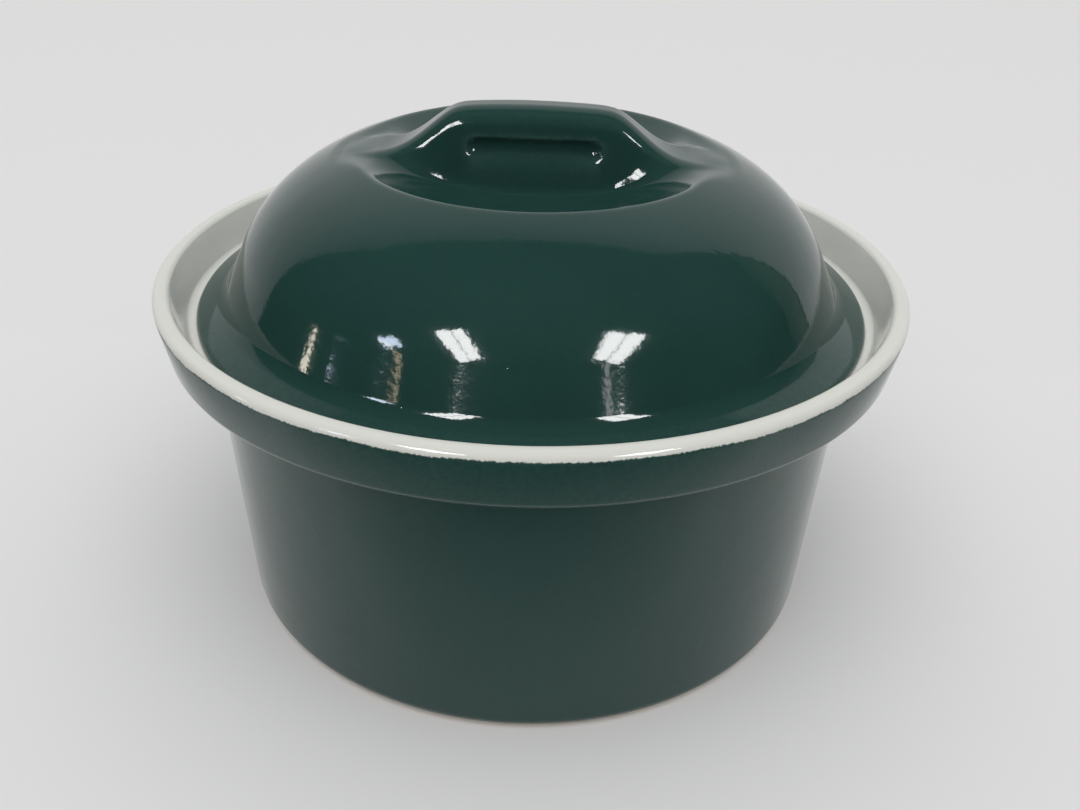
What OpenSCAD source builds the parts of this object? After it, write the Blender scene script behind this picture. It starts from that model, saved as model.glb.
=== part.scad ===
// Round covered casserole in glazed stoneware, lengths in millimetres.
// The deep dish ends in a thick collar, and the domed lid drops inside that collar onto a seat.
// The lid's bar grip is moulded in one piece with it, across a sunken well that fingers reach into.
// The dish stands on Z = 0 about the Z axis, and the grip runs along X.

/* [Dish] */
// Widest diameter, over the collar just under the lip
rim_d = 250.4; // [244:0.2:262]
// Height from the table to the top of the lip
dish_h = 116.6; // [96:0.2:140]
// Diameter of the wall's outside, drawn down to the table
base_d = 205.8; // [190:0.2:210]
// Thickness of the wall, under the collar and at the floor
wall_t = 6.5; // [5:0.1:8]
// Height of the inside floor above the table
floor_t = 7; // [5:0.1:10]
// Radius of the rounding where the wall turns under to the table
base_round = 5.5; // [3:0.1:8]
// Radius of the rounding between the inside floor and the wall
floor_round = 12; // [6:0.5:20]
// Inner diameter of the flat foot ring
foot_inner_d = 176; // [150:1:182]
// Depth of the recess inside the foot ring
foot_recess = 2; // [1:0.1:3]

/* [Collar] */
// Height of the collar, from its underside to the top of the lip
collar_h = 19.6; // [17:0.1:24]
// How far the widest diameter stands out past the wall under the collar, measured on the radius
collar_overhang = 16.6; // [14.6:0.1:18.6]
// How far the collar's lower edge stays inside the widest diameter, measured on the radius
collar_lean = 3.9; // [2:0.1:6]
// Thickness of the lip across its top
lip_t = 5.6; // [4.6:0.1:7]
// Depth of the lid's seat below the top of the lip
seat_depth = 12.6; // [10:0.1:15]
// How far the collar's inner face leans in from the lip to the seat
seat_lean = 4.4; // [2.5:0.1:5]
// Radius of the collar's lower outer edge
collar_round = 4; // [2:0.1:5]
// Radius of the lip's outer edge
lip_round_outer = 2.6; // [1.5:0.1:3]
// Radius of the lip's inner edge
lip_round_inner = 1.6; // [1:0.1:2]
// Radius where the collar's inner face meets the seat, and of the seat's edge over the mouth
seat_round = 2.2; // [1:0.1:3]

/* [Lid] */
// Gap around the lid's flange, measured on the radius
flange_gap = 2.8; // [1.5:0.1:4]
// Thickness of the flange at its outer edge
flange_t = 4.9; // [4:0.1:6]
// How much higher the flange's top is where it meets the dome
flange_rise = 0.3; // [0:0.1:1.2]
// Radius of the flange's two outer edges
flange_round = 2.3; // [1.5:0.1:2.4]
// Radius of the hollow where the flange meets the dome
dome_foot_round = 5; // [2:0.1:6]
// Gap around the locating ring that hangs in the dish's mouth, measured on the radius
ring_gap = 2; // [1:0.1:3]
// How far the locating ring hangs below the seat
ring_drop = 8; // [5:0.1:10]
// Radius of the locating ring's lower edges
ring_round = 2; // [1:0.1:2.5]
// How far the dome, without its sloped foot, stays inside the locating ring, on the radius
dome_inset = 1.2; // [0.5:0.1:2]
// Height above the seat where the dome, without its sloped foot, would be widest
skirt_h = 8.8; // [7:0.1:12]
// Rise of the unbroken dome above that height
dome_h = 48; // [38:0.2:60]
// Slope of the dome's side where it runs down to the flange
foot_angle = 71; // [66:0.5:76]
// Thickness of the dome and of the well
lid_t = 6; // [4.5:0.1:7]

/* [Grip] */
// Diameter of the well's crisp edge
well_d = 117.4; // [112:0.2:122]
// Depth of the well's centre below its edge
well_depth = 12.5; // [9:0.1:15]
// Height of the grip's flat top above the well's edge
grip_rise = 14.8; // [10:0.1:20]
// Thickness of the grip at its top
grip_w = 15; // [12:0.2:20]
// Length of the grip's flat top
grip_top_l = 50.4; // [46:0.2:56]
// Slope of the grip's two ends
ramp_angle = 40; // [36:1:46]
// Draft of the grip's two faces, from the vertical
draft_angle = 10; // [7:0.5:14]
// Radius of the grip's two long top edges
grip_round = 6.5; // [4:0.1:7.5]
// How far the grip's top falls from its middle to its two ends
grip_crown = 1; // [0.4:0.1:1.6]
// How much wider the grip's roots are than its middle, on each side
root_flare = 3; // [1:0.1:5]
// Distance between the two roots, where they are as wide as they get
root_span = 100; // [92:0.5:112]
// Length of the finger groove pressed into each face
groove_l = 43; // [36:0.5:46]
// Height of the finger groove
groove_w = 7; // [5:0.1:8]
// Depth of the finger groove
groove_depth = 2.3; // [1:0.1:2.6]
// Height of the groove's middle above the well's edge
groove_rise = 2.2; // [0:0.1:4]

/* [Hidden] */

glaze_green = "#1f4740";
glaze_white = "#dadbd5";

// Steps round a full turn, and steps round one rounded corner
turn_count = 180;
corner_count = 6;
$fn = turn_count;

// Heights and radii of the dish
collar_z = dish_h - collar_h;
seat_z = dish_h - seat_depth;
rim_r = rim_d / 2;
collar_r = rim_r - collar_lean;
lip_r = rim_r - lip_t;
seat_r = lip_r - seat_lean;
wall_top_r = rim_r - collar_overhang;
mouth_r = wall_top_r - wall_t;
floor_r = base_d / 2 - wall_t;
collar_root_round = 2.5;

// The green glaze stops where the lip starts to round over, and the lip is left white
glaze_z = dish_h - lip_round_outer;
glaze_share = lip_round_outer / collar_h;
glaze_r = rim_r - collar_lean * glaze_share;
white_share = lip_round_outer / seat_depth;
white_r = lip_r - seat_lean * white_share;

// Heights and radii of the lid, which all follow the seat and the mouth
flange_r = seat_r - flange_gap;
ring_r = mouth_r - ring_gap;
dome_r = ring_r - dome_inset;
dome_z0 = seat_z + skirt_h;
ring_z = seat_z - ring_drop;
ring_taper = 1;
well_r = well_d / 2;

// Fullness of the dome: both powers at 2 would make it half an ellipsoid
dome_plan_share = 3.02;
dome_rise_share = 1.765;

// The dome is drawn in equal steps of a quarter turn and stops where its sloped foot starts
dome_step_count = 56;
dome_last_share = 48 / dome_step_count;

// Softness of the blends: well edge, grip knees, grip feet, and the same at the grip's roots
edge_soft = 0.4;
knee_soft = 1.4;
foot_soft = 2;
root_edge_soft = 3.5;
root_foot_soft = 7;

// The grip's faces lie back to this angle at the roots, and the soft root edge is this wide
root_lean = 48;
root_edge_w = 28;

// The grip's skirt dips this deep into the dome and the well, and its bed lies this far below
grip_sink = 0.5;
grip_bed = 1.2;
grip_reach = 3;
root_reach = 14;
grip_end_x = well_r + grip_reach;

// Shares of the half length, of the top, of the rounded edge, of the face and of the foot at which
// the grip's surface is drawn
station_count = 24;
top_shares = [0, 0.5];
round_shares = [0, 0.2, 0.4, 0.6, 0.8, 1];
face_shares = [0.3, 0.6, 0.8, 1];
foot_shares = [0.08, 0.18, 0.32, 0.5, 0.72, 1];

// The hollow under the grip keeps the clay about as thick as the dome
hollow_top_r = 2;
hollow_foot_r = 4.5;

// Smallest and largest of two heights, joined by a soft bend of size k
function soft_min(a, b, k) =
    let (low = min(a, b))
    low - k * ln(exp((low - a) / k) + exp((low - b) / k));
function soft_max(a, b, k) = -soft_min(-a, -b, k);

// Length of a line, and the arc that rounds corner p between its neighbours a and b
function span(a, b) = norm(b - a);
function corner(a, p, b, r) =
    let (
        u = (a - p) / span(a, p),
        v = (b - p) / span(b, p),
        half = acos(u * v) / 2,
        run = min(r / tan(half), span(a, p) / 2, span(b, p) / 2),
        centre = p + (u + v) / norm(u + v) * run / cos(half),
        from = p + u * run - centre,
        to = p + v * run - centre,
        turn = cross(from, to) > 0 ? 180 - 2 * half : 2 * half - 180,
        start = atan2(from[1], from[0])
    )
    [for (i = [0:corner_count])
        let (a = start + turn * i / corner_count)
        centre + norm(from) * [cos(a), sin(a)]];

// An outline of [radius, height, rounding] points, with its corners rounded
function rounded(path) = [
    for (i = [0:len(path) - 1])
        let (
            last = len(path) - 1,
            p = [path[i][0], path[i][1]],
            a = path[i == 0 ? last : i - 1],
            b = path[i == last ? 0 : i + 1]
        )
        each path[i][2] == 0 ? [p] : corner([a[0], a[1]], p, [b[0], b[1]], path[i][2])
];

// Height of the dome at a radius, or of its inside when it is drawn in by the wall
function dome_z(r, wall) =
    let (reach = min(1, r / (dome_r - wall)))
    dome_z0 + (dome_h - wall) * pow(1 - pow(reach, dome_plan_share), 1 / dome_rise_share);

// Radius of the dome at a share of its quarter turn
function dome_step_r(share, wall) = (dome_r - wall) * pow(sin(90 * share), 2 / dome_plan_share);

// The well is a shallow bowl that meets the dome at its edge
edge_z = dome_z(well_r, 0);
function well_z(r) = edge_z - well_depth * (1 - pow(r / well_r, 2));
function crown_z(r) = soft_min(dome_z(r, 0), well_z(r), edge_soft);
function ceiling_z(r) = soft_min(dome_z(r, lid_t), well_z(r) - lid_t, edge_soft);

// Height of the grip's crest; 0 to 1 from the knee to the root; half thickness and lean of a face
grip_z = edge_z + grip_rise;
knee_x = grip_top_l / 2;
function ramp_z(x) = grip_z - (abs(x) - knee_x) * tan(ramp_angle);
function crest_z(x) = soft_min(grip_z - grip_crown * pow(x / knee_x, 2), ramp_z(x), knee_soft);
function root_share(x) = max(0, min(1, (abs(x) - knee_x) / (root_span / 2 - knee_x)));
function half_w(x) = grip_w / 2 + root_flare * pow(root_share(x), 2);
function lean(x) = draft_angle + (root_lean - draft_angle) * pow(root_share(x), 1.5);

// How far a side of the grip lies under its crest, past the unrounded corner: top, round and face
function corner_run(a) = grip_round * tan((90 - a) / 2);
function side_drop(past, a) =
    let (run = past + corner_run(a))
    run <= 0 ? 0
    : run < grip_round * cos(a) ? grip_round - sqrt(pow(grip_round, 2) - pow(run, 2))
    : past / tan(a);

// The bar runs into the well and stays under the dome, more and more softly towards its roots
function grip_surface(x, y) =
    let (
        r = norm([x, y]),
        share = root_share(x),
        bar = crest_z(x) - side_drop(abs(y) - half_w(x), lean(x)),
        bowl = soft_max(well_z(r) - grip_sink, bar, foot_soft + (root_foot_soft - foot_soft) * share),
        near = min(1, 2 * share) * pow(max(0, 1 - pow(y / root_edge_w, 2)), 2),
        soft = edge_soft + (root_edge_soft - edge_soft) * near,
        limit = soft_max(dome_z(r, 0) - grip_sink, bar + 4 * soft, 1)
    )
    soft_min(limit, bowl, soft);

// Where the grip's rounded edge starts and ends, where its face meets the well, and its widest
function round_y(x, share) = half_w(x) - corner_run(lean(x)) + grip_round * sin(share * (90 - lean(x)));
function face_y(x) =
    max(round_y(x, 1) + grip_sink, half_w(x) + (crest_z(x) - crown_z(abs(x))) * tan(lean(x)));
function reach_y(x) = face_y(x) + grip_reach + root_reach * root_share(x);

// Height of the grip's flat bed, which stays inside the clay of the well and the dome
function bed_z(x) = min(crown_z(abs(x)), crown_z(norm([x, reach_y(x)]))) - grip_sink - grip_bed;

// One cross-section of the grip, from its left foot over the top and back through its bed
function half_section(x) = concat(
    [for (s = top_shares) s * round_y(x, 0)],
    [for (s = round_shares) round_y(x, s)],
    [for (s = face_shares) round_y(x, 1) + s * (face_y(x) - round_y(x, 1))],
    [for (s = foot_shares) face_y(x) + s * (reach_y(x) - face_y(x))]
);
function section(x) =
    let (half = half_section(x), n = len(half))
    concat(
        [for (i = [n - 1:-1:1]) [x, -half[i], grip_surface(x, half[i])]],
        [for (i = [0:n - 1]) [x, half[i], grip_surface(x, half[i])]],
        [for (side = [1, -1]) [x, side * reach_y(x), bed_z(x)]]
    );

// The grip from root to root: cross-sections joined by triangles
module grip_bar() {
    stations = [for (i = [-station_count:station_count]) section(i / station_count * grip_end_x)];
    n = len(stations[0]);
    last = len(stations) - 1;
    sides = [
        for (i = [0:last - 1], j = [0:n - 1])
            let (k = (j + 1) % n, p = i * n, q = p + n)
            each [[p + j, q + k, q + j], [p + j, p + k, q + k]]
    ];
    ends = [[for (j = [n - 1:-1:0]) j], [for (j = [0:n - 1]) last * n + j]];
    polyhedron(points = [for (s = stations) each s], faces = concat(ends, sides), convexity = 6);
}

// The groove that fingertips hold, a round-ended trough along one face
module finger_groove() {
    groove_r = (pow(groove_w / 2, 2) + pow(groove_depth, 2)) / (2 * groove_depth);
    groove_z = edge_z + groove_rise;
    groove_y = grip_w / 2 + (grip_z - groove_z) * tan(draft_angle);
    half_l = groove_l / 2 - groove_w / 2;
    translate([0, groove_y + groove_r - groove_depth, groove_z]) {
        rotate([0, 90, 0]) cylinder(r = groove_r, h = 2 * half_l, center = true);
        for (side = [-1, 1]) {
            translate([side * half_l, 0, 0]) sphere(r = groove_r);
        }
    }
}

// The hollow pressed up under the grip, narrow at its top and wider where the well begins
module grip_hollow() {
    top_z = grip_z - lid_t - hollow_top_r;
    foot_z = edge_z - well_depth - lid_t;
    top_x = grip_top_l / 2 - lid_t;
    foot_x = top_x + (top_z - foot_z) / tan(90 - ramp_angle) / 2;
    hull($fn = 20) {
        for (side = [-1, 1]) {
            translate([side * top_x, 0, top_z]) sphere(r = hollow_top_r);
            translate([side * foot_x, 0, foot_z]) sphere(r = hollow_foot_r);
        }
    }
}

// The dish from its foot ring up to the glaze line, seen in cross-section
dish_outline = [
    [0, foot_recess, 0],
    [foot_inner_d / 2, foot_recess, 0],
    [foot_inner_d / 2, 0, 0],
    [base_d / 2, 0, base_round],
    [wall_top_r, collar_z, collar_root_round],
    [collar_r, collar_z, collar_round],
    [glaze_r, glaze_z, 0],
    [white_r, glaze_z, 0],
    [seat_r, seat_z, seat_round],
    [mouth_r, seat_z, seat_round],
    [floor_r, floor_t, floor_round],
    [0, floor_t, 0]
];

// The white lip above the glaze line
lip_outline = [
    [white_r, glaze_z, 0],
    [glaze_r, glaze_z, 0],
    [rim_r, dish_h, lip_round_outer],
    [lip_r, dish_h, lip_round_inner]
];

// The lid without its grip: crown, flange, locating ring and hollow inside
dome_steps = [for (i = [0:dome_last_share * dome_step_count]) i / dome_step_count];
dome_end_r = dome_step_r(dome_last_share, 0);
dome_foot_z = seat_z + flange_t + flange_rise;
dome_foot_r = dome_end_r + (dome_z(dome_end_r, 0) - dome_foot_z) / tan(foot_angle);

lid_outline = concat(
    [for (s = dome_steps) let (r = dome_step_r(s, 0)) [r, crown_z(r), 0]],
    [
        [dome_foot_r, dome_foot_z, dome_foot_round],
        [flange_r, seat_z + flange_t, flange_round],
        [flange_r, seat_z, flange_round],
        [ring_r, seat_z, 0],
        [ring_r - ring_taper, ring_z, ring_round],
        [dome_r - lid_t, ring_z, ring_round]
    ],
    [for (s = dome_steps)
        let (r = dome_step_r(dome_last_share - s, lid_t))
        [r, ceiling_z(r), 0]]
);

module dish() {
    color(glaze_green) rotate_extrude() polygon(rounded(dish_outline));
    color(glaze_white) rotate_extrude() polygon(rounded(lip_outline));
}

module lid() {
    color(glaze_green) difference() {
        union() {
            rotate_extrude() polygon(rounded(lid_outline));
            grip_bar();
        }
        finger_groove();
        mirror([0, 1, 0]) finger_groove();
        grip_hollow();
    }
}

dish();
lid();
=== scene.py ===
import math

import bmesh
import bpy
from mathutils import Matrix, Vector, noise


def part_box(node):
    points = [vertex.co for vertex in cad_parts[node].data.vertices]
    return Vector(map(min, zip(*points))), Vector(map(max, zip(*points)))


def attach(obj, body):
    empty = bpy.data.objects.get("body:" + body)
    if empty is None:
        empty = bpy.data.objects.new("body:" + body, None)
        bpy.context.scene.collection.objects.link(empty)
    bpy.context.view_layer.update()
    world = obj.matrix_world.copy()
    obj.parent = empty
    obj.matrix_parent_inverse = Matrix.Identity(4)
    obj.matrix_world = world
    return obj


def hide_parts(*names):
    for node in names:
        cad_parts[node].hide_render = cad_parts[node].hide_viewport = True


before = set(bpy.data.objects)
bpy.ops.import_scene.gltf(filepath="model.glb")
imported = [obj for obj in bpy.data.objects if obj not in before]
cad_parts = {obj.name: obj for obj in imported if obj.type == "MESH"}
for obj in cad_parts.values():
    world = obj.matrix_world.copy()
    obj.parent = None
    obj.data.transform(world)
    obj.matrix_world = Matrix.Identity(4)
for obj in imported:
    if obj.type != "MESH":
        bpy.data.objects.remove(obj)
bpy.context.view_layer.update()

# Dish: the deep pot with its foot ring, wall, thick collar, lid seat and lip, one piece of fired
# stoneware. Its outside is dipped in dark green glaze up to the lip, the inside is glazed white,
# and the foot is wiped bare so that it doesn't stick in the kiln.
MM = 0.001
DISH_STEPS = 480
ROUNDING_STEPS = 7
DISH_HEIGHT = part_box("dish")[1].z / MM
COLLAR_HEIGHT = DISH_HEIGHT - 19.6
SEAT_HEIGHT = DISH_HEIGHT - 12.6
GLAZE_LINE_HEIGHT = DISH_HEIGHT - 2.3
FOOT_RECESS = 2
FOOT_INNER_RADIUS = 88
BASE_RADIUS = 102.9
WALL_TOP_RADIUS = 108.6
COLLAR_RADIUS = 121.3
RIM_RADIUS = 125.2
LIP_INNER_RADIUS = 119.6
SEAT_RADIUS = 115.2
MOUTH_RADIUS = 102.1
FLOOR_RADIUS = 96.4
FLOOR_THICKNESS = 7
# Radius, height and corner rounding of each corner, from the underside round to the inside
DISH_CORNERS = [
    (0, FOOT_RECESS, 0),
    (FOOT_INNER_RADIUS, FOOT_RECESS, 1.2),
    (FOOT_INNER_RADIUS, 0, 0.8),
    (BASE_RADIUS, 0, 5.5),
    (WALL_TOP_RADIUS, COLLAR_HEIGHT, 2.5),
    (COLLAR_RADIUS, COLLAR_HEIGHT, 4),
    (RIM_RADIUS, DISH_HEIGHT, 2.6),
    (LIP_INNER_RADIUS, DISH_HEIGHT, 1.6),
    (SEAT_RADIUS, SEAT_HEIGHT, 2.2),
    (MOUTH_RADIUS, SEAT_HEIGHT, 2.2),
    (FLOOR_RADIUS, FLOOR_THICKNESS, 12),
    (0, FLOOR_THICKNESS, 0),
]


def draw_profile(bm, corners):
    """Draws a chain of edges through the corners, and rounds each corner that has a radius."""
    chain = [bm.verts.new((radius, 0, height)) for radius, height, _ in corners]
    for start, end in zip(chain, chain[1:]):
        bm.edges.new((start, end))
    for vert, (_, _, rounding) in zip(chain, corners):
        if rounding:
            one, other = (edge.other_vert(vert).co - vert.co for edge in vert.link_edges)
            bmesh.ops.bevel(bm, geom=[vert], offset=rounding / math.tan(one.angle(other) / 2),
                            offset_type='OFFSET', segments=ROUNDING_STEPS, profile=0.5,
                            affect='VERTICES', material=-1)


def turn_profile(bm, steps):
    """Turns the profile once round the Z axis, like clay on a wheel."""
    bmesh.ops.spin(bm, geom=bm.verts[:] + bm.edges[:], cent=(0, 0, 0), axis=(0, 0, 1),
                   angle=math.tau, steps=steps, use_merge=True, use_duplicate=False)


def close_clay(bm):
    """Welds seams and poles, and points every face outwards."""
    weld = 0.002
    bmesh.ops.remove_doubles(bm, verts=bm.verts, dist=weld)
    bmesh.ops.dissolve_degenerate(bm, edges=bm.edges, dist=weld / 4)
    bmesh.ops.recalc_face_normals(bm, faces=bm.faces)


BROAD_WAVE = 24
SMALL_WAVE = 9
SMALL_WAVE_SHARE = 0.3
SMALL_WAVE_PLACE = Vector((7, 3, 5))
FLAT_BELOW = 1


def press_by_hand(bm, amount):
    """Gives the clay the faint unevenness that a mould and a sponge leave, in two sizes."""
    bm.normal_update()
    moves = []
    for vert in bm.verts:
        broad = noise.noise(vert.co / BROAD_WAVE)
        small = noise.noise(vert.co / SMALL_WAVE + SMALL_WAVE_PLACE)
        moves.append(vert.normal * (amount * broad + SMALL_WAVE_SHARE * amount * small))
    for vert, move in zip(bm.verts, moves):
        if vert.co.z > FLAT_BELOW:
            vert.co += move


LEAST_BEND = 0.12
BEND_RANGE = 0.55


def mark_glaze_break_and_highlight(bm, rounds):
    """Stores how thin the glaze ran at every sharp outer edge; the paler colour set there is partly
    a painted highlight.
    """
    bm.normal_update()
    edge_thin_and_lit = bm.verts.layers.float.new("thin_glaze_and_highlight")
    for vert in bm.verts:
        bend = 0.0
        for edge in vert.link_edges:
            step = edge.other_vert(vert).co - vert.co
            bend = max(bend, -2 * vert.normal.dot(step) / step.length_squared)
        vert[edge_thin_and_lit] = min(1.0, max(0.0, (bend - LEAST_BEND) / BEND_RANGE))
    # Spreading it out also widens the painted highlight along each edge
    for _ in range(rounds):
        spread = []
        for vert in bm.verts:
            near = [edge.other_vert(vert)[edge_thin_and_lit] for edge in vert.link_edges]
            spread.append((vert[edge_thin_and_lit] * 2 + sum(near)) / (2 + len(near)))
        for vert, value in zip(bm.verts, spread):
            vert[edge_thin_and_lit] = value


def fire_piece(bm, name, materials, choose_material):
    """Makes the finished object, in metres, with a material chosen for each face."""
    for face in bm.faces:
        face.smooth = True
        face.material_index = choose_material(face)
    bmesh.ops.scale(bm, vec=(MM, MM, MM), verts=bm.verts)
    mesh = bpy.data.meshes.new(name)
    bm.to_mesh(mesh)
    bm.free()
    for material in materials:
        mesh.materials.append(material)
    piece = bpy.data.objects.new(name, mesh)
    bpy.context.scene.collection.objects.link(piece)
    return piece


def linear(code):
    """Turns an sRGB hex colour into the linear colour that a shader socket takes."""
    shares = [int(code[i:i + 2], 16) / 255 for i in (1, 3, 5)]
    return tuple(s / 12.92 if s <= 0.04045 else ((s + 0.055) / 1.055) ** 2.4 for s in shares) + (1,)


def add_node(tree, kind, inputs=None, **settings):
    """Adds a node; each input is given a value, or the output socket that feeds it."""
    added = tree.nodes.new(kind)
    for name, value in settings.items():
        setattr(added, name, value)
    for name, value in (inputs or {}).items():
        socket = added.inputs[name]
        if isinstance(value, bpy.types.NodeSocket):
            tree.links.new(value, socket)
        else:
            socket.default_value = value
    return added


def new_material(name):
    """Starts a material with only its shader and output."""
    material = bpy.data.materials.new(name)
    material.use_nodes = True
    tree = material.node_tree
    tree.nodes.clear()
    shader = add_node(tree, 'ShaderNodeBsdfPrincipled')
    add_node(tree, 'ShaderNodeOutputMaterial', {"Surface": shader.outputs[0]})
    return material, tree, shader


PEEL_SIZE = 1.9 * MM
PEEL_HEIGHT = 0.022 * MM
RELIEF_WAVE = 14 * MM
RELIEF_HEIGHT = 0.1 * MM
PIT_SPACING = 16 * MM
PIT_DEPTH = 0.05 * MM


def add_glaze_relief(tree, shader, position):
    """Orange peel, long soft waves and rare pinholes, none of them over 0.1 mm high."""
    peel = add_node(tree, 'ShaderNodeTexNoise',
                    {"Vector": position, "Scale": 1 / PEEL_SIZE, "Detail": 1.5, "Roughness": 0.45})
    waves = add_node(tree, 'ShaderNodeTexNoise',
                     {"Vector": position, "Scale": 1 / RELIEF_WAVE, "Detail": 1.0,
                      "Roughness": 0.4})
    pits = add_node(tree, 'ShaderNodeTexVoronoi',
                    {"Vector": position, "Scale": 1 / PIT_SPACING, "Randomness": 1.0})
    pit = add_node(tree, 'ShaderNodeMapRange',
                   {"Value": pits.outputs["Distance"], "From Min": 0.012, "From Max": 0.026,
                    "To Min": 0.0, "To Max": 1.0})
    wave_bump = add_node(tree, 'ShaderNodeBump',
                         {"Height": waves.outputs[0], "Strength": 1.0,
                          "Distance": RELIEF_HEIGHT})
    peel_bump = add_node(tree, 'ShaderNodeBump',
                         {"Height": peel.outputs[0], "Strength": 1.0, "Distance": PEEL_HEIGHT,
                          "Normal": wave_bump.outputs[0]})
    pit_bump = add_node(tree, 'ShaderNodeBump',
                        {"Height": pit.outputs[0], "Strength": 1.0, "Distance": PIT_DEPTH,
                         "Normal": peel_bump.outputs[0]})
    tree.links.new(pit_bump.outputs[0], shader.inputs["Normal"])
    return pit


GREEN_CLOUD = 30 * MM
FLECK_SIZE = 1.6 * MM


def green_glaze_colour(tree, position, pit):
    """Dark green glaze: deep where it pooled, paler and greyer over edges, partly thin glaze and
    partly a painted highlight.
    """
    cloud = add_node(tree, 'ShaderNodeTexNoise',
                     {"Vector": position, "Scale": 1 / GREEN_CLOUD, "Detail": 3.0,
                      "Roughness": 0.55})
    fleck = add_node(tree, 'ShaderNodeTexNoise',
                     {"Vector": position, "Scale": 1 / FLECK_SIZE, "Detail": 2.0,
                      "Roughness": 0.6})
    body = add_node(tree, 'ShaderNodeMix',
                    {"Factor": cloud.outputs[0], "A": linear("#1c3834"), "B": linear("#22403b")},
                    data_type='RGBA')
    fleck_share = add_node(tree, 'ShaderNodeMapRange',
                           {"Value": fleck.outputs[0], "From Min": 0.42, "From Max": 0.72,
                            "To Min": 0.0, "To Max": 0.05})
    flecked = add_node(tree, 'ShaderNodeMix',
                       {"Factor": fleck_share.outputs[0], "A": body.outputs["Result"],
                        "B": linear("#38554f")},
                       data_type='RGBA')
    edge_thin_and_lit = add_node(tree, 'ShaderNodeAttribute', attribute_name="thin_glaze_and_highlight")
    ragged = add_node(tree, 'ShaderNodeMapRange',
                      {"Value": fleck.outputs[0], "From Min": 0.3, "From Max": 0.7,
                       "To Min": 0.35, "To Max": 1.0})
    thin_and_lit_share = add_node(tree, 'ShaderNodeMath',
                          {0: edge_thin_and_lit.outputs["Fac"], 1: ragged.outputs[0]}, operation='MULTIPLY')
    # Paler grey-green on sharp edges: partly thin glaze, partly a painted highlight along the edge
    broken_and_lit = add_node(tree, 'ShaderNodeMix',
                      {"Factor": thin_and_lit_share.outputs[0], "A": flecked.outputs["Result"],
                       "B": linear("#46605a")},
                      data_type='RGBA')
    return add_node(tree, 'ShaderNodeMix',
                    {"Factor": pit.outputs[0], "A": linear("#16302c"),
                     "B": broken_and_lit.outputs["Result"]},
                    data_type='RGBA').outputs["Result"]


# Gloss glaze on stoneware: a smooth melted glass coat, so it mirrors lamps sharply and the eye
# sees the dark colour only between the reflections. Glass has an IOR of about 1.5, and 1.43 gives
# reflections as faint as this glaze's.
def set_gloss_glaze(shader):
    shader.inputs["Roughness"].default_value = 0.07
    shader.inputs["IOR"].default_value = 1.43


LINE_DRIFT_LENGTH = 12 * MM
LINE_DRIFT = 3.0
LINE_GRAIN_SIZE = 0.9 * MM
LINE_GRAIN = 2.6
LINE_STEP = 0.45 * MM


def make_green_to_lip():
    """The dish's outside: green up to an uneven dipping line, white above it."""
    material, tree, shader = new_material("green_glaze_with_white_lip")
    position = add_node(tree, 'ShaderNodeTexCoord').outputs["Object"]
    pit = add_glaze_relief(tree, shader, position)
    green = green_glaze_colour(tree, position, pit)
    height = add_node(tree, 'ShaderNodeSeparateXYZ', {"Vector": position}).outputs["Z"]
    drift = add_node(tree, 'ShaderNodeTexNoise',
                     {"Vector": position, "Scale": 1 / LINE_DRIFT_LENGTH, "Detail": 2.0})
    grain = add_node(tree, 'ShaderNodeTexNoise',
                     {"Vector": position, "Scale": 1 / LINE_GRAIN_SIZE, "Detail": 2.0})
    above = add_node(tree, 'ShaderNodeMath', {0: height, 1: GLAZE_LINE_HEIGHT * MM},
                     operation='SUBTRACT')
    in_steps = add_node(tree, 'ShaderNodeMath', {0: above.outputs[0], 1: 1 / LINE_STEP},
                        operation='MULTIPLY')
    with_drift = add_node(tree, 'ShaderNodeMath',
                          {0: drift.outputs[0], 1: LINE_DRIFT, 2: in_steps.outputs[0]},
                          operation='MULTIPLY_ADD')
    with_grain = add_node(tree, 'ShaderNodeMath',
                          {0: grain.outputs[0], 1: LINE_GRAIN, 2: with_drift.outputs[0]},
                          operation='MULTIPLY_ADD')
    white_share = add_node(tree, 'ShaderNodeMapRange',
                           {"Value": with_grain.outputs[0], "From Min": 2.4, "From Max": 3.2})
    mixed = add_node(tree, 'ShaderNodeMix',
                     {"Factor": white_share.outputs[0], "A": green, "B": linear("#d2d3cc")},
                     data_type='RGBA')
    tree.links.new(mixed.outputs["Result"], shader.inputs["Base Color"])
    set_gloss_glaze(shader)
    return material


WHITE_CLOUD = 18 * MM


def make_white_glaze():
    """The inside: white gloss glaze over buff clay, a little greyer where it ran thin."""
    material, tree, shader = new_material("white_glaze")
    position = add_node(tree, 'ShaderNodeTexCoord').outputs["Object"]
    add_glaze_relief(tree, shader, position)
    cloud = add_node(tree, 'ShaderNodeTexNoise',
                     {"Vector": position, "Scale": 1 / WHITE_CLOUD, "Detail": 4.0})
    tone = add_node(tree, 'ShaderNodeMix',
                    {"Factor": cloud.outputs[0], "A": linear("#d5d6cf"), "B": linear("#dfe0da")},
                    data_type='RGBA')
    tree.links.new(tone.outputs["Result"], shader.inputs["Base Color"])
    set_gloss_glaze(shader)
    return material


SAND_GRAIN = 0.6 * MM
SAND_HEIGHT = 0.1 * MM


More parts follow.
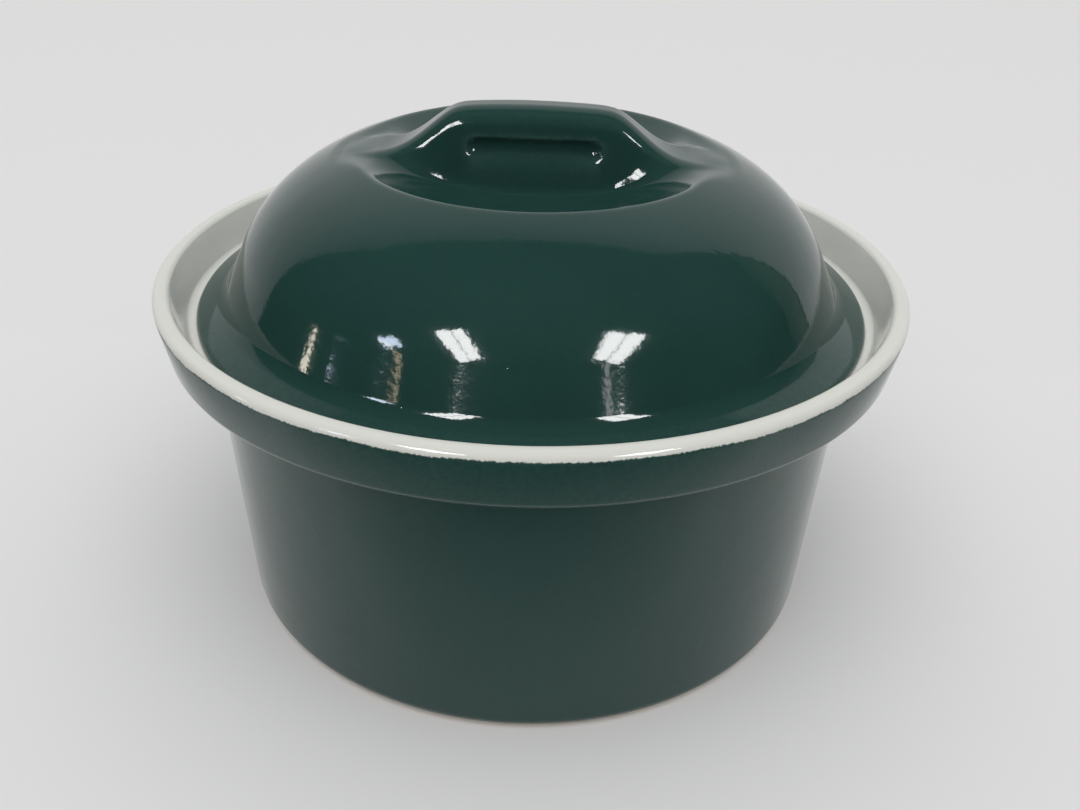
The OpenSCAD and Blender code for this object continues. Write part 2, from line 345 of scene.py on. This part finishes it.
def make_bare_stoneware():
    """Wiped foot: fired clay without glaze, matt and warm, and rough with grains of sand."""
    material, tree, shader = new_material("bare_stoneware")
    position = add_node(tree, 'ShaderNodeTexCoord').outputs["Object"]
    sand = add_node(tree, 'ShaderNodeTexNoise',
                    {"Vector": position, "Scale": 1 / SAND_GRAIN, "Detail": 3.0})
    tone = add_node(tree, 'ShaderNodeMix',
                    {"Factor": sand.outputs[0], "A": linear("#a9987f"), "B": linear("#c9bba3")},
                    data_type='RGBA')
    rough = add_node(tree, 'ShaderNodeBump',
                     {"Height": sand.outputs[0], "Strength": 0.6, "Distance": SAND_HEIGHT})
    tree.links.new(tone.outputs["Result"], shader.inputs["Base Color"])
    tree.links.new(rough.outputs[0], shader.inputs["Normal"])
    shader.inputs["Roughness"].default_value = 0.8
    return material


BARE_FOOT_RADIUS = 102
BARE_FOOT_HEIGHT = 2.4
WALL_MIDDLE_RADIUS = 99.6
WALL_LEAN = 0.059
LIP_WHITE_RADIUS = 119.7


def choose_dish_glaze(face):
    """0 is the outside and lip, 1 the white inside, 2 the bare foot."""
    centre = face.calc_center_median()
    radius = math.hypot(centre.x, centre.y)
    if centre.z < BARE_FOOT_HEIGHT and radius < BARE_FOOT_RADIUS:
        return 2
    if centre.z < SEAT_HEIGHT - 1:
        inside_wall = radius < WALL_MIDDLE_RADIUS + WALL_LEAN * centre.z
        return 1 if inside_wall and centre.z > FLOOR_THICKNESS - 1 else 0
    return 1 if radius < LIP_WHITE_RADIUS and centre.z < DISH_HEIGHT - 0.5 else 0


white_glaze = make_white_glaze()
bare_stoneware = make_bare_stoneware()
dish_clay = bmesh.new()
draw_profile(dish_clay, DISH_CORNERS)
turn_profile(dish_clay, DISH_STEPS)
close_clay(dish_clay)
press_by_hand(dish_clay, amount=0.05)
mark_glaze_break_and_highlight(dish_clay, rounds=2)
dish = fire_piece(dish_clay, "casserole_dish", [make_green_to_lip(), white_glaze, bare_stoneware],
                  choose_dish_glaze)
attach(dish, "dish")
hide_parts("dish")

# Lid: the dome with its flange, locating ring, sunken finger well and the bar grip that is moulded
# across the well, all one piece of fired stoneware. Its top is glazed green and its underside
# white, and it lies loose on the dish's seat.
LID_STEPS = 560
PATCH_COLUMNS = 112
PATCH_ROWS = 168
PATCH_RADIUS = 54.0
DOME_FOOT_RADIUS = 98.9
DOME_START_HEIGHT = SEAT_HEIGHT + 8.8
DOME_RISE = 48.0
DOME_SHOULDER_POWER = 3.02
DOME_CROWN_POWER = 1.765
DOME_END_RADIUS = 95.8
FOOT_SLOPE = math.tan(math.radians(65.5))
FOOT_HEIGHT = SEAT_HEIGHT + 6.5
FLANGE_RADIUS = 112.4
FLANGE_EDGE_HEIGHT = SEAT_HEIGHT + 2.1
RING_TOP_RADIUS = 100.1
RING_RADIUS = 99.1
RING_INNER_RADIUS = 92.9
RING_HEIGHT = SEAT_HEIGHT - 8
LID_THICKNESS = 6.0
WELL_RADIUS = 58.7
WELL_DEPTH = 12.5
GRIP_RISE = 14.8
GRIP_THICKNESS = 15.0
GRIP_TOP_HALF = 25.2
GRIP_RAMP = math.tan(math.radians(40))
GRIP_DRAFT = 10
GRIP_CROWN = 1.0
GRIP_ROUNDING = 6.5
ROOT_END = 50.0
ROOT_FLARE = 3.0
ROOT_LEAN = 48
EDGE_SOFT = 0.4
ROOT_EDGE_SOFT = 3.5
ROOT_EDGE_WIDTH = 28.0
KNEE_SOFT = 1.4
FOOT_SOFT = 2.0
ROOT_SOFT = 7.0


def soft_min(a, b, soft):
    """The lower of two heights, with the bend between them softened."""
    low = min(a, b)
    return low - soft * math.log(math.exp((low - a) / soft) + math.exp((low - b) / soft))


def soft_max(a, b, soft):
    """The higher of two heights, with the bend between them softened."""
    return -soft_min(-a, -b, soft)


def dome_height(radius, wall):
    """The dome's superellipse, or its inside when drawn in by the wall."""
    share = min(1.0, radius / (DOME_FOOT_RADIUS - wall))
    level = (1 - share ** DOME_SHOULDER_POWER) ** (1 / DOME_CROWN_POWER)
    return DOME_START_HEIGHT + (DOME_RISE - wall) * level


EDGE_HEIGHT = dome_height(WELL_RADIUS, 0)
GRIP_HEIGHT = EDGE_HEIGHT + GRIP_RISE


def well_height(radius):
    """The bowl that is sunk into the dome's top, with room for the fingertips."""
    return EDGE_HEIGHT - WELL_DEPTH * (1 - (radius / WELL_RADIUS) ** 2)


def root_share(x):
    """How far along the grip's sloped end a place lies: 0 at the knee, 1 at the root."""
    return max(0.0, min(1.0, (abs(x) - GRIP_TOP_HALF) / (ROOT_END - GRIP_TOP_HALF)))


def grip_half(x):
    """Half the grip's thickness, which spreads towards the roots."""
    return GRIP_THICKNESS / 2 + ROOT_FLARE * root_share(x) ** 2


def shoulder_drop(past, lean):
    """How far the grip's side lies below its crest, at a distance past the unrounded corner."""
    run = past + GRIP_ROUNDING * math.tan((math.pi / 2 - lean) / 2)
    if run <= 0:
        return 0.0
    if run < GRIP_ROUNDING * math.cos(lean):
        return GRIP_ROUNDING - math.sqrt(GRIP_ROUNDING ** 2 - run ** 2)
    return past / math.tan(lean)


def outer_height(x, y):
    """The top of the lid: dome, well and bar, run together more and more softly at the roots."""
    radius = math.hypot(x, y)
    share = root_share(x)
    crest = soft_min(GRIP_HEIGHT - GRIP_CROWN * (x / GRIP_TOP_HALF) ** 2,
                     GRIP_HEIGHT - (abs(x) - GRIP_TOP_HALF) * GRIP_RAMP, KNEE_SOFT)
    lean = math.radians(GRIP_DRAFT + (ROOT_LEAN - GRIP_DRAFT) * share ** 1.5)
    bar = crest - shoulder_drop(abs(y) - grip_half(x), lean)
    inside = soft_max(well_height(radius), bar, FOOT_SOFT + (ROOT_SOFT - FOOT_SOFT) * share)
    near_root = min(1.0, 2 * share) * max(0.0, 1 - (y / ROOT_EDGE_WIDTH) ** 2) ** 2
    edge_soft = EDGE_SOFT + (ROOT_EDGE_SOFT - EDGE_SOFT) * near_root
    limit = soft_max(dome_height(radius, 0), bar + 4 * edge_soft, 1.0)
    return soft_min(limit, inside, edge_soft)


# The hollow pressed up under the grip keeps the clay about as thick there as in the dome
HOLLOW_TOP = GRIP_HEIGHT - LID_THICKNESS
HOLLOW_FOOT = EDGE_HEIGHT - WELL_DEPTH - LID_THICKNESS
HOLLOW_HALF_WIDTH = 4.5
HOLLOW_SIDE_SLOPE = 10.1
HOLLOW_HALF_LENGTH = 34.3
HOLLOW_END_SLOPE = 1.93
HOLLOW_SOFT = 1.2


def inner_height(x, y):
    """The underside of the lid: ceiling of the well and the slot under the grip."""
    radius = math.hypot(x, y)
    ceiling = soft_min(dome_height(radius, LID_THICKNESS), well_height(radius) - LID_THICKNESS,
                       EDGE_SOFT)
    side = HOLLOW_FOOT + (HOLLOW_HALF_WIDTH - abs(y)) * HOLLOW_SIDE_SLOPE
    end = HOLLOW_FOOT + (HOLLOW_HALF_LENGTH - abs(x)) * HOLLOW_END_SLOPE
    slot = soft_min(HOLLOW_TOP, soft_min(side, end, HOLLOW_SOFT), HOLLOW_SOFT)
    return soft_max(ceiling, slot, 1.0)


def patch_place(u, v, bands, shares):
    """Maps a square grid onto the disc, with its rows drawn together in the given bands."""
    side = math.pi * PATCH_ROWS / LID_STEPS
    top = math.pi * PATCH_COLUMNS / LID_STEPS
    middle_x = PATCH_RADIUS * (math.sin(top * u) + u * (1 - math.cos(side)))
    span = PATCH_RADIUS * (side + math.cos(top * u) - math.cos(top))
    marks = [0.0] + [edge / span for edge in bands(middle_x)] + [1.0]
    steps = [0.0] + shares + [1.0]
    share = abs(v)
    row = 1.0
    for (low, high), (start, end) in zip(zip(steps, steps[1:]), zip(marks, marks[1:])):
        if share <= high:
            row = start + (end - start) * (share - low) / (high - low)
            break
    even = abs(u) ** 8
    row = math.copysign(row * (1 - even) + share * even, v)
    return Vector((
        PATCH_RADIUS * (math.sin(top * u) + u * (math.cos(side * row) - math.cos(side))),
        PATCH_RADIUS * (math.sin(side * row) + row * (math.cos(top * u) - math.cos(top)))))


def add_patch(bm, bands, shares):
    """Lays the grid that fills the middle of the lid's top or underside."""
    made = bmesh.ops.create_grid(bm, x_segments=PATCH_COLUMNS, y_segments=PATCH_ROWS, size=1)
    for vert in made["verts"]:
        vert.co.xy = patch_place(vert.co.x, vert.co.y, bands, shares)
    return made["verts"]


def dome_share(radius, wall):
    """The share of the dome's quarter turn that lies inside a radius."""
    out = radius / (DOME_FOOT_RADIUS - wall)
    return (2 / math.pi) * math.asin(out ** (DOME_SHOULDER_POWER / 2))


def dome_steps(count, first, last, wall):
    """Radii that follow the dome evenly from one share of its quarter turn to another."""
    shares = [first + (last - first) * i / count for i in range(count + 1)]
    return [(DOME_FOOT_RADIUS - wall) * math.sin(math.pi / 2 * share) ** (2 / DOME_SHOULDER_POWER)
            for share in shares]


ring_corners = [(radius, outer_height(0, radius), 0)
                for radius in (PATCH_RADIUS, 55.2, 56.2, 57.0, 57.5, 57.9, 58.2, 58.5, 58.8, 59.1,
                               59.4, 59.7, 60.1, 60.6, 61.3, 62.2, 63.4)]
dome_first = dome_share(65, 0)
dome_last = dome_share(DOME_END_RADIUS, 0)
inside_first = dome_share(PATCH_RADIUS, LID_THICKNESS)
dome_radii = dome_steps(22, dome_first, dome_last, 0)
foot_drop = dome_height(DOME_END_RADIUS, 0) - FOOT_HEIGHT
LID_CORNERS = (
    ring_corners
    + [(radius, dome_height(radius, 0), 0) for radius in dome_radii]
    + [
        (DOME_END_RADIUS + foot_drop / FOOT_SLOPE, FOOT_HEIGHT, 8),
        (FLANGE_RADIUS, FLANGE_EDGE_HEIGHT, 2.6),
        (FLANGE_RADIUS, SEAT_HEIGHT, 0.2),
        (RING_TOP_RADIUS, SEAT_HEIGHT, 1.0),
        (RING_RADIUS, RING_HEIGHT, 2),
        (RING_INNER_RADIUS, RING_HEIGHT, 2),
    ]
    + [(radius, inner_height(0, radius), 0)
       for radius in dome_steps(14, dome_last, inside_first, LID_THICKNESS)])

# The rows of the two grids are drawn together where the grip's faces and the hollow's sides are
lid_clay = bmesh.new()
draw_profile(lid_clay, LID_CORNERS)
turn_profile(lid_clay, LID_STEPS)
top_patch = add_patch(lid_clay, lambda x: (grip_half(x) - 5.5, grip_half(x) - 0.7,
                                           grip_half(x) + 2.6, grip_half(x) + 12),
                      [0.04, 0.23, 0.64, 0.8])
under_patch = add_patch(lid_clay, lambda x: (1.4, 5.6, 11), [0.06, 0.6, 0.75])
under_set = set(under_patch)
for vert in lid_clay.verts:
    if vert in under_set:
        vert.co.z = inner_height(vert.co.x, vert.co.y)
for vert in top_patch:
    vert.co.z = outer_height(vert.co.x, vert.co.y)
ROOT_REACH = 64
TOP_BAND = 4
for vert in lid_clay.verts:
    on_top = vert.co.z > EDGE_HEIGHT - TOP_BAND
    if on_top and PATCH_RADIUS - 0.01 < vert.co.xy.length < ROOT_REACH:
        vert.co.z = outer_height(vert.co.x, vert.co.y)

# Finger groove pressed along each face of the grip, a trough with rounded ends
GROOVE_HALF_HEIGHT = 3.5
GROOVE_DEPTH = 2.3
GROOVE_HALF_LENGTH = 21.5
GROOVE_HEIGHT = EDGE_HEIGHT + 2.2
GROOVE_SOFT = 0.12
FACE_DEPTH = 0.6
groove_radius = (GROOVE_HALF_HEIGHT ** 2 + GROOVE_DEPTH ** 2) / (2 * GROOVE_DEPTH)
for vert in top_patch:
    along = max(0.0, abs(vert.co.x) - (GROOVE_HALF_LENGTH - GROOVE_HALF_HEIGHT))
    off = math.hypot(along, vert.co.z - GROOVE_HEIGHT)
    if off < groove_radius and abs(vert.co.y) > GRIP_THICKNESS / 2 - FACE_DEPTH:
        trough = math.sqrt(groove_radius ** 2 - off ** 2) - (groove_radius - GROOVE_DEPTH)
        pressed = soft_max(trough, 0, GROOVE_SOFT) - GROOVE_SOFT * math.log(2)
        vert.co.y -= math.copysign(pressed, vert.co.y)

close_clay(lid_clay)
press_by_hand(lid_clay, amount=0.07)
mark_glaze_break_and_highlight(lid_clay, rounds=3)


def make_green_glaze():
    """The lid's top: the same green gloss glaze, with nothing left white."""
    material, tree, shader = new_material("green_glaze")
    position = add_node(tree, 'ShaderNodeTexCoord').outputs["Object"]
    pit = add_glaze_relief(tree, shader, position)
    tree.links.new(green_glaze_colour(tree, position, pit), shader.inputs["Base Color"])
    set_gloss_glaze(shader)
    return material


BARE_RING_RADIUS = 100.4
INSIDE_END_RADIUS = 95.5


def choose_lid_glaze(face):
    """0 is the green top, 1 the white underside, 2 the bare ring that stood in the kiln."""
    centre = face.calc_center_median()
    radius = math.hypot(centre.x, centre.y)
    if radius > BARE_RING_RADIUS:
        return 2 if centre.z < SEAT_HEIGHT + 0.3 else 0
    if centre.z < SEAT_HEIGHT + 0.5:
        return 1
    middle = (dome_height(radius, 0) + dome_height(radius, LID_THICKNESS)) / 2
    if radius < ROOT_REACH:
        middle = (outer_height(centre.x, centre.y) + inner_height(centre.x, centre.y)) / 2
    return 0 if centre.z > middle or radius > INSIDE_END_RADIUS else 1


lid = fire_piece(lid_clay, "domed_lid", [make_green_glaze(), white_glaze, bare_stoneware],
                 choose_lid_glaze)
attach(lid, "lid")
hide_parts("lid")

# Floor: one flat sheet of pale matt paper under and behind the dish. It isn't part of the object.
# The camera sees it run on, but in the glaze it fades out towards the table's sides and front.
PAPER_RADIUS = 9
SIDE_FADE_START = 0.18
SIDE_FADE_END = 0.44
FRONT_FADE_START = -0.11
FRONT_FADE_END = -0.21
floor_sheet = bmesh.new()
bmesh.ops.create_circle(floor_sheet, cap_ends=True, segments=96, radius=PAPER_RADIUS)
floor_mesh = bpy.data.meshes.new("pale_floor")
floor_sheet.to_mesh(floor_mesh)
floor_sheet.free()
floor = bpy.data.objects.new("pale_floor", floor_mesh)
bpy.context.scene.collection.objects.link(floor)
paper, paper_tree, paper_shader = new_material("matt_paper")
paper_shader.inputs["Base Color"].default_value = linear("#dddddd")
paper_shader.inputs["Roughness"].default_value = 0.9
paper_shader.inputs["Specular IOR Level"].default_value = 0.2
place = add_node(paper_tree, 'ShaderNodeTexCoord').outputs["Object"]
place_axes = add_node(paper_tree, 'ShaderNodeSeparateXYZ', {"Vector": place})
aside = add_node(paper_tree, 'ShaderNodeMath', {0: place_axes.outputs["X"]}, operation='ABSOLUTE')
past_side = add_node(paper_tree, 'ShaderNodeMapRange',
                     {"Value": aside.outputs[0], "From Min": SIDE_FADE_START,
                      "From Max": SIDE_FADE_END, "To Min": 0.0, "To Max": 1.0})
past_front = add_node(paper_tree, 'ShaderNodeMapRange',
                      {"Value": place_axes.outputs["Y"], "From Min": FRONT_FADE_START,
                       "From Max": FRONT_FADE_END, "To Min": 0.0, "To Max": 1.0})
past_table = add_node(paper_tree, 'ShaderNodeMath',
                      {0: past_side.outputs[0], 1: past_front.outputs[0]}, operation='MAXIMUM')
floor_rays = add_node(paper_tree, 'ShaderNodeLightPath')
not_mirrored = add_node(paper_tree, 'ShaderNodeMath',
                        {0: past_table.outputs[0], 1: floor_rays.outputs["Is Glossy Ray"]},
                        operation='MULTIPLY')
gap = add_node(paper_tree, 'ShaderNodeBsdfTransparent')
sheet = add_node(paper_tree, 'ShaderNodeMixShader',
                 {0: not_mirrored.outputs[0], 1: paper_shader.outputs[0], 2: gap.outputs[0]})
paper_tree.links.new(sheet.outputs[0], paper_tree.get_output_node('CYCLES').inputs["Surface"])
floor_mesh.materials.append(paper)

# Light: broad soft light from above the camera and from overhead, two tall lamps beside the camera,
# small windows on the left, and a pale wall behind the dish. The room behind the camera is dark,
# so the glaze mirrors the lamps against black, and the wall as a pale band with a clear edge.
DARK_ROOM = 0.012
CEILING_SEEN = 0.05
SIDE_LIGHT = 0.2
OVERHEAD_LIGHT = 0.78
TOWARDS_BACK = -0.1
world = bpy.data.worlds.new("studio")
bpy.context.scene.world = world
world.use_nodes = True
sky = world.node_tree
sky.nodes.clear()
towards = add_node(sky, 'ShaderNodeTexCoord').outputs["Generated"]
direction = add_node(sky, 'ShaderNodeSeparateXYZ', {"Vector": towards})
ceiling = add_node(sky, 'ShaderNodeMapRange',
                   {"Value": direction.outputs["Z"], "From Min": 0.3, "From Max": 0.8,
                    "To Min": DARK_ROOM, "To Max": CEILING_SEEN},
                   interpolation_type='SMOOTHSTEP')
overhead = add_node(sky, 'ShaderNodeMapRange',
                    {"Value": direction.outputs["Z"], "From Min": 0.0, "From Max": 1.0,
                     "To Min": SIDE_LIGHT, "To Max": OVERHEAD_LIGHT})
soft_level = add_node(sky, 'ShaderNodeMath',
                      {0: direction.outputs["Y"], 1: TOWARDS_BACK, 2: overhead.outputs[0]},
                      operation='MULTIPLY_ADD')
rays = add_node(sky, 'ShaderNodeLightPath')
mirror_ray = add_node(sky, 'ShaderNodeMath',
                      {0: rays.outputs["Is Glossy Ray"], 1: rays.outputs["Is Transmission Ray"]},
                      operation='MAXIMUM')
soft_or_mirror = add_node(sky, 'ShaderNodeMix',
                          {"Factor": mirror_ray.outputs[0], "A": soft_level.outputs[0],
                           "B": ceiling.outputs[0]}, data_type='RGBA')
seen = add_node(sky, 'ShaderNodeMix',
                {"Factor": rays.outputs["Is Camera Ray"], "A": soft_or_mirror.outputs["Result"],
                 "B": linear("#dcdcdc")}, data_type='RGBA')
background = add_node(sky, 'ShaderNodeBackground', {"Color": seen.outputs["Result"]})
add_node(sky, 'ShaderNodeOutputWorld', {"Surface": background.outputs[0]})

SOFT_LIGHT_WIDTH = math.radians(70)
for light_name, light_energy, tilt, makes_shadow in (("soft_light", 0.95, 34, True),
                                                     ("fill_light", 0.58, 0, False)):
    broad_light = bpy.data.lights.new(light_name, 'SUN')
    broad_light.energy = light_energy
    broad_light.angle = SOFT_LIGHT_WIDTH
    broad_light.use_shadow = makes_shadow
    hung_light = bpy.data.objects.new(light_name, broad_light)
    hung_light.rotation_euler = (math.radians(tilt), 0, 0)
    hung_light.visible_glossy = False
    bpy.context.scene.collection.objects.link(hung_light)


LID_PLACE = Vector((0, 0, 0.13))


def add_lamp(name, low, high, width, radiance, colour="#ffffff", aside=0.0):
    """A flat light from a low to a high point, facing the dish, moved aside by a distance."""
    low, high = Vector(low), Vector(high)
    middle = (low + high) / 2
    up = (high - low).normalized()
    back = (middle - LID_PLACE).normalized()
    across = up.cross(back).normalized()
    back = across.cross(up)
    light = bpy.data.lights.new(name, 'AREA')
    light.shape = 'RECTANGLE'
    light.size = width
    light.size_y = (high - low).length
    light.color = linear(colour)[:3]
    light.energy = radiance * math.pi * light.size * light.size_y
    lamp = bpy.data.objects.new(name, light)
    lamp.matrix_world = (Matrix.Translation(middle + across * aside)
                         @ Matrix((across, up, back)).transposed().to_4x4())
    lamp.visible_camera = False
    lamp.visible_diffuse = False
    bpy.context.scene.collection.objects.link(lamp)


# Each tall lamp is a pair of tubes with a narrow dark gap between them
for side in (-1, 1):
    add_lamp("left_lamp", (-0.453, -1.347, 0.7), (-0.563, -0.901, 0.976), 0.115, 26,
             aside=side * 0.064)
    add_lamp("right_lamp", (0.704, -1.227, 0.7), (0.71, -0.804, 0.951), 0.13, 26,
             aside=side * 0.071)
add_lamp("right_lamp_stand", (0.7, -1.235, 0.61), (0.703, -1.235, 0.67), 0.05, 6)
add_lamp("window_pane", (-1.015, -0.93, 0.593), (-1.052, -0.822, 0.69), 0.18, 24, "#dbe8ff")
add_lamp("window_sill", (-1.06, -0.94, 0.566), (-1.055, -0.945, 0.588), 0.27, 10, "#ffe6c0")
add_lamp("window_left", (-1.44, -0.31, 0.255), (-1.43, -0.335, 0.31), 0.19, 16, "#fff6e2")
add_lamp("window_beside_it", (-1.34, -0.58, 0.36), (-1.34, -0.58, 0.39), 0.13, 18, "#dbe8ff")


BRIGHT_X = 0.1
BRIGHT_Z = 0.1
BRIGHT_SPOT = 0.12
CARD_DISTANCE = 0.157


def add_card(name, left, right, low, high, behind, bright, dim, reach, colour):
    """An upright pale card that only mirrored rays see, brightest near its foot."""
    card_bm = bmesh.new()
    bmesh.ops.create_grid(card_bm, x_segments=1, y_segments=1, size=0.5)
    for vert in card_bm.verts:
        vert.co = Vector((left + (right - left) * (vert.co.x + 0.5), behind,
                          low + (high - low) * (vert.co.y + 0.5)))
    card_mesh = bpy.data.meshes.new(name)
    card_bm.to_mesh(card_mesh)
    card_bm.free()
    card_paper = bpy.data.materials.new(name)
    card_paper.use_nodes = True
    tree = card_paper.node_tree
    tree.nodes.clear()
    spot = add_node(tree, 'ShaderNodeTexCoord').outputs["Object"]
    away = add_node(tree, 'ShaderNodeVectorMath', {0: spot, 1: (BRIGHT_X, behind, BRIGHT_Z)},
                    operation='DISTANCE')
    level = add_node(tree, 'ShaderNodeMapRange',
                     {"Value": away.outputs["Value"], "From Min": BRIGHT_SPOT, "From Max": reach,
                      "To Min": bright, "To Max": dim}, interpolation_type='SMOOTHSTEP')
    glow = add_node(tree, 'ShaderNodeEmission',
                    {"Color": linear(colour), "Strength": level.outputs[0]})
    add_node(tree, 'ShaderNodeOutputMaterial', {"Surface": glow.outputs[0]})
    card_mesh.materials.append(card_paper)
    card = bpy.data.objects.new(name, card_mesh)
    card.visible_camera = False
    card.visible_diffuse = False
    card.visible_shadow = False
    bpy.context.scene.collection.objects.link(card)


add_card("wall_behind", -0.66, 0.44, 0.0, 0.93, CARD_DISTANCE, bright=0.76, dim=0.22,
         reach=1.15, colour="#ffffff")
add_card("wall_beside", 0.455, 0.72, 0.0, 0.5, CARD_DISTANCE, bright=0.35, dim=0.1,
         reach=0.75, colour="#e9f2dc")

# Camera: at the height and tilt that the photograph was taken from, 0.44 m from the dish's foot.
# The dish is drawn with its grip along X, so the camera stands turned by 2.5 degrees.
CAMERA_TURN = math.radians(2.5)
CAMERA_PLACE = (0, -0.35055, 0.26168)
CAMERA_LOOK_DOWN = 0.5248
CAMERA_ASIDE = -0.01052
CAMERA_ROLL = 0.02674
SENSOR_WIDTH = 36
FOCAL_PIXELS = 1100
FRAME_PIXELS = 1080
camera_data = bpy.data.cameras.new("camera")
camera_data.sensor_width = SENSOR_WIDTH
camera_data.lens = SENSOR_WIDTH * FOCAL_PIXELS / FRAME_PIXELS
camera_data.clip_start = 0.01
camera = bpy.data.objects.new("camera", camera_data)
camera.matrix_world = (Matrix.Rotation(CAMERA_TURN, 4, 'Z')
                       @ Matrix.Translation(CAMERA_PLACE)
                       @ Matrix.Rotation(CAMERA_ASIDE, 4, 'Z')
                       @ Matrix.Rotation(math.pi / 2 - CAMERA_LOOK_DOWN, 4, 'X')
                       @ Matrix.Rotation(CAMERA_ROLL, 4, 'Z'))
bpy.context.scene.collection.objects.link(camera)
bpy.context.scene.camera = camera
bpy.context.scene.view_settings.view_transform = 'Standard'
